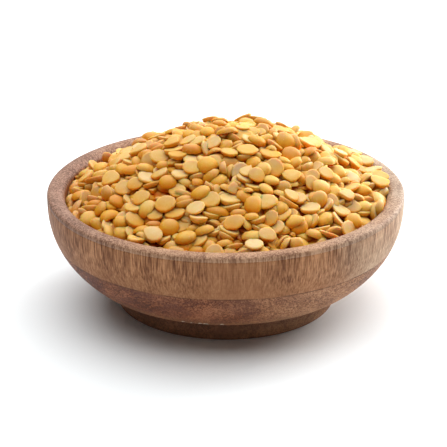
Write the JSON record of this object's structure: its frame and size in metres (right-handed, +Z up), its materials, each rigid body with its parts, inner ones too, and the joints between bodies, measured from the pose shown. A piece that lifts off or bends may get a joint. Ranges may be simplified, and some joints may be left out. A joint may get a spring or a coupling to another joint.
{
  "type": "dish of toor dal",
  "caption": "Small turned wooden bowl on a set-in foot, heaped above its rim with dry split yellow pulses: a filled dish for kitchen, market and table scenes.",
  "frame": {"origin": "centre of the foot's underside, on the surface that the bowl stands on", "axes": "+Z up along the bowl's turning axis, -Y towards the picture's camera, +X to the right in the picture"},
  "size_m": [0.12, 0.12, 0.059],
  "materials": {
    "wood": "turned and glued-up wood with a thin satin oil finish, lighter streaked upper board over a darker lower board",
    "dal": "dry husked split pulses, half matte: pale cream flat faces and deeper yellow domed backs, with a trace of flour"
  },
  "bodies": {
    "root": {"bowl": "wood", "dal_heap": "dal"}
  },
  "joints": []
}
